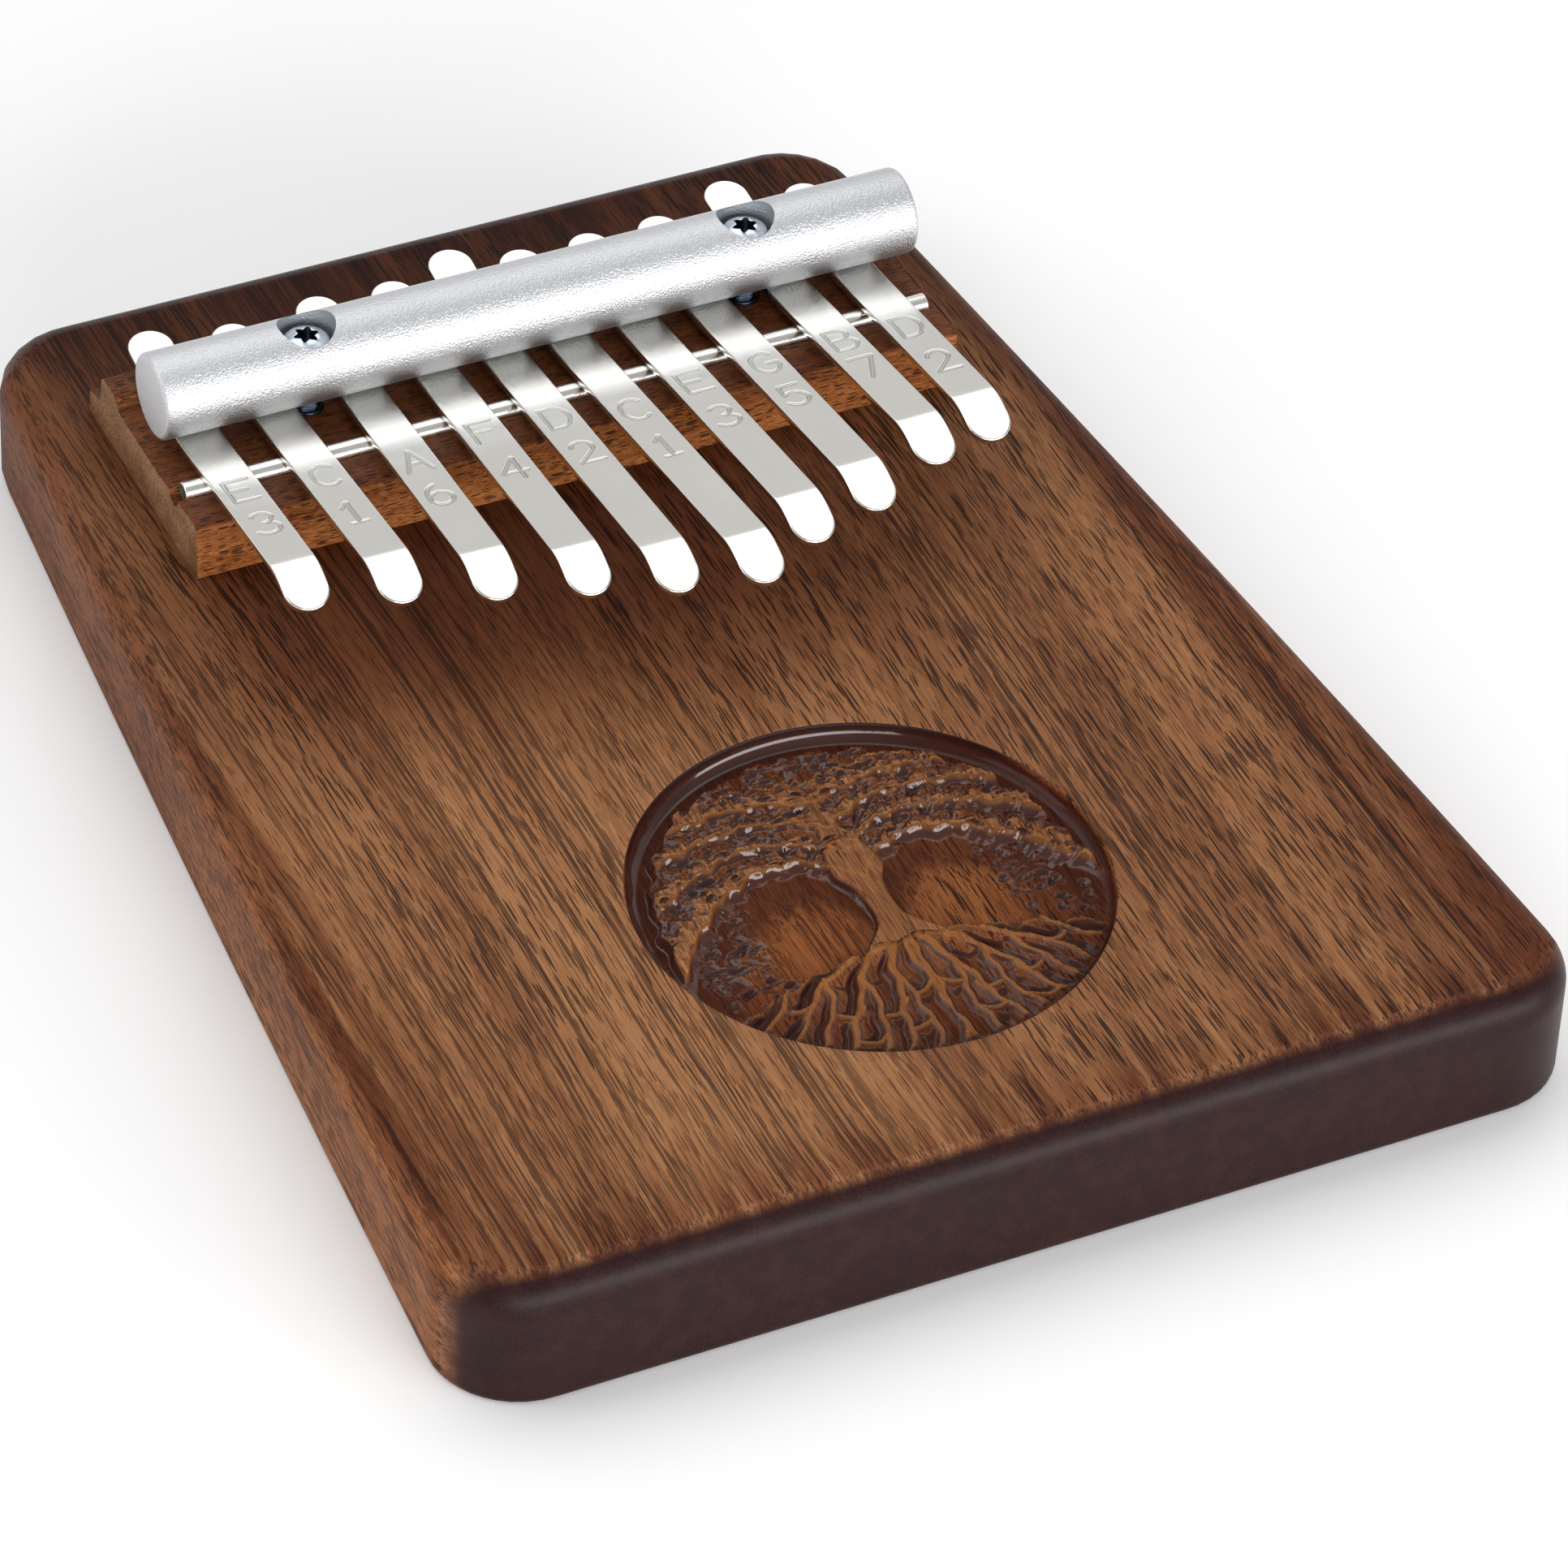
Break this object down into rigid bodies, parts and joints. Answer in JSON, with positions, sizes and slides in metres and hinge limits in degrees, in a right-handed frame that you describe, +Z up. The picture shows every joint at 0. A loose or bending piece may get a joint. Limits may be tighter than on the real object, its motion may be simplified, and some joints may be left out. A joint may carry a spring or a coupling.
{
  "type": "mbira",
  "caption": "Board-type mbira: solid wood board with a carved round tree medallion, flat steel tines held by a round metal bar over a wooden bridge block.",
  "frame": {"origin": "bottom centre of the board", "axes": "+X along the pressure bar to the player's right, +Y from the player's end to the bar end, +Z up out of the board"},
  "size_m": [0.1258, 0.1624, 0.0328],
  "materials": {
    "walnut": "satin open-pored",
    "bridge_wood": "satin",
    "satin_aluminium": "fine blasted satin",
    "polished_nickel": "polished",
    "spring_steel": "smooth satin",
    "zinc_screw": "bright zinc",
    "blued_steel": "dark blued"
  },
  "bodies": {
    "frame": {"body_board": "walnut", "bridge_block": "bridge_wood", "bridge_rod": "polished_nickel", "pressure_bar": "satin_aluminium", "screw_left": "zinc_screw", "screw_right": "zinc_screw", "insert_left": "blued_steel", "insert_right": "blued_steel"},
    "tine_1_clamped": {"tine_1_tail": "spring_steel"},
    "tine_1_free": {"tine_1_reed": "spring_steel"},
    "tine_2_clamped": {"tine_2_tail": "spring_steel"},
    "tine_2_free": {"tine_2_reed": "spring_steel"},
    "tine_3_clamped": {"tine_3_tail": "spring_steel"},
    "tine_3_free": {"tine_3_reed": "spring_steel"},
    "tine_4_clamped": {"tine_4_tail": "spring_steel"},
    "tine_4_free": {"tine_4_reed": "spring_steel"},
    "tine_5_clamped": {"tine_5_tail": "spring_steel"},
    "tine_5_free": {"tine_5_reed": "spring_steel"},
    "tine_6_clamped": {"tine_6_tail": "spring_steel"},
    "tine_6_free": {"tine_6_reed": "spring_steel"},
    "tine_7_clamped": {"tine_7_tail": "spring_steel"},
    "tine_7_free": {"tine_7_reed": "spring_steel"},
    "tine_8_clamped": {"tine_8_tail": "spring_steel"},
    "tine_8_free": {"tine_8_reed": "spring_steel"},
    "tine_9_clamped": {"tine_9_tail": "spring_steel"},
    "tine_9_free": {"tine_9_reed": "spring_steel"},
    "tine_10_clamped": {"tine_10_tail": "spring_steel"},
    "tine_10_free": {"tine_10_reed": "spring_steel"}
  },
  "joints": [
    {"name": "tine_1_tuning_slide", "type": "slide", "parent": "frame", "child": "tine_1_clamped", "axis": [0.0201, 0.9998, 0], "range_m": [-0.0007, 0.0007]},
    {"name": "tine_1_pluck", "type": "hinge", "parent": "tine_1_clamped", "child": "tine_1_free", "pos_m": [-0.0395, 0.039, 0.02367], "axis": [0.9998, -0.0201, 0], "range_deg": [-3, 3], "stiffness_Nm_per_rad": 0.1},
    {"name": "tine_2_tuning_slide", "type": "slide", "parent": "frame", "child": "tine_2_clamped", "axis": [0.0122, 0.9999, 0], "range_m": [-0.0007, 0.0007]},
    {"name": "tine_2_pluck", "type": "hinge", "parent": "tine_2_clamped", "child": "tine_2_free", "pos_m": [-0.0304, 0.039, 0.02367], "axis": [0.9999, -0.0122, 0], "range_deg": [-3, 3], "stiffness_Nm_per_rad": 0.1},
    {"name": "tine_3_tuning_slide", "type": "slide", "parent": "frame", "child": "tine_3_clamped", "axis": [0.0332, 0.9995, 0], "range_m": [-0.0007, 0.0007]},
    {"name": "tine_3_pluck", "type": "hinge", "parent": "tine_3_clamped", "child": "tine_3_free", "pos_m": [-0.0205, 0.039, 0.02367], "axis": [0.9995, -0.0332, 0], "range_deg": [-3, 3], "stiffness_Nm_per_rad": 0.1},
    {"name": "tine_4_tuning_slide", "type": "slide", "parent": "frame", "child": "tine_4_clamped", "axis": [0.0244, 0.9997, 0], "range_m": [-0.0007, 0.0007]},
    {"name": "tine_4_pluck", "type": "hinge", "parent": "tine_4_clamped", "child": "tine_4_free", "pos_m": [-0.0116, 0.039, 0.02367], "axis": [0.9997, -0.0244, 0], "range_deg": [-3, 3], "stiffness_Nm_per_rad": 0.1},
    {"name": "tine_5_tuning_slide", "type": "slide", "parent": "frame", "child": "tine_5_clamped", "axis": [0.0122, 0.9999, 0], "range_m": [-0.0007, 0.0007]},
    {"name": "tine_5_pluck", "type": "hinge", "parent": "tine_5_clamped", "child": "tine_5_free", "pos_m": [-0.0035, 0.039, 0.02367], "axis": [0.9999, -0.0122, 0], "range_deg": [-3, 3], "stiffness_Nm_per_rad": 0.1},
    {"name": "tine_6_tuning_slide", "type": "slide", "parent": "frame", "child": "tine_6_clamped", "axis": [-0.0096, 1, 0], "range_m": [-0.0007, 0.0007]},
    {"name": "tine_6_pluck", "type": "hinge", "parent": "tine_6_clamped", "child": "tine_6_free", "pos_m": [0.0044, 0.039, 0.02367], "axis": [1, 0.0096, 0], "range_deg": [-3, 3], "stiffness_Nm_per_rad": 0.1},
    {"name": "tine_7_tuning_slide", "type": "slide", "parent": "frame", "child": "tine_7_clamped", "axis": [-0.0087, 1, 0], "range_m": [-0.0007, 0.0007]},
    {"name": "tine_7_pluck", "type": "hinge", "parent": "tine_7_clamped", "child": "tine_7_free", "pos_m": [0.0126, 0.039, 0.02367], "axis": [1, 0.0087, 0], "range_deg": [-3, 3], "stiffness_Nm_per_rad": 0.1},
    {"name": "tine_8_tuning_slide", "type": "slide", "parent": "frame", "child": "tine_8_clamped", "axis": [-0.0113, 0.9999, 0], "range_m": [-0.0007, 0.0007]},
    {"name": "tine_8_pluck", "type": "hinge", "parent": "tine_8_clamped", "child": "tine_8_free", "pos_m": [0.0211, 0.039, 0.02367], "axis": [0.9999, 0.0113, 0], "range_deg": [-3, 3], "stiffness_Nm_per_rad": 0.1},
    {"name": "tine_9_tuning_slide", "type": "slide", "parent": "frame", "child": "tine_9_clamped", "axis": [-0.0192, 0.9998, 0], "range_m": [-0.0007, 0.0007]},
    {"name": "tine_9_pluck", "type": "hinge", "parent": "tine_9_clamped", "child": "tine_9_free", "pos_m": [0.0307, 0.039, 0.02367], "axis": [0.9998, 0.0192, 0], "range_deg": [-3, 3], "stiffness_Nm_per_rad": 0.1},
    {"name": "tine_10_tuning_slide", "type": "slide", "parent": "frame", "child": "tine_10_clamped", "axis": [-0.0035, 1, 0], "range_m": [-0.0007, 0.0007]},
    {"name": "tine_10_pluck", "type": "hinge", "parent": "tine_10_clamped", "child": "tine_10_free", "pos_m": [0.0386, 0.039, 0.02367], "axis": [1, 0.0035, 0], "range_deg": [-3, 3], "stiffness_Nm_per_rad": 0.1}
  ]
}
